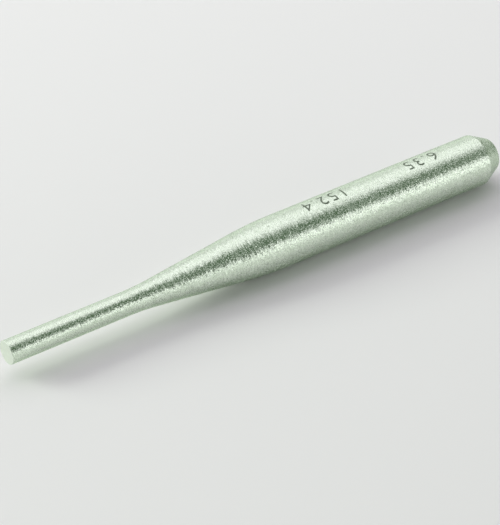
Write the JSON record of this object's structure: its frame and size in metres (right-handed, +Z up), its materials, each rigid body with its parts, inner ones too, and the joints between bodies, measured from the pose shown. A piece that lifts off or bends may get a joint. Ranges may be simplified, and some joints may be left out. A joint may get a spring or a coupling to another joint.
{
  "type": "pin punch",
  "caption": "Solid metal pin punch: a straight pin flares into a round shank with a tapered head, for driving pins out of holes with a hammer.",
  "frame": {"origin": "centre of the tip face, the flat end of the pin", "axes": "+X along the punch's axis from the tip to the striking face, +Z up as the punch lies on a bench"},
  "size_m": [0.1524, 0.0142, 0.0142],
  "materials": {
    "punch_metal": "satin, fine cast grain, turned lines round the pin and flare"
  },
  "bodies": {
    "root": {"punch": "punch_metal"}
  },
  "joints": []
}
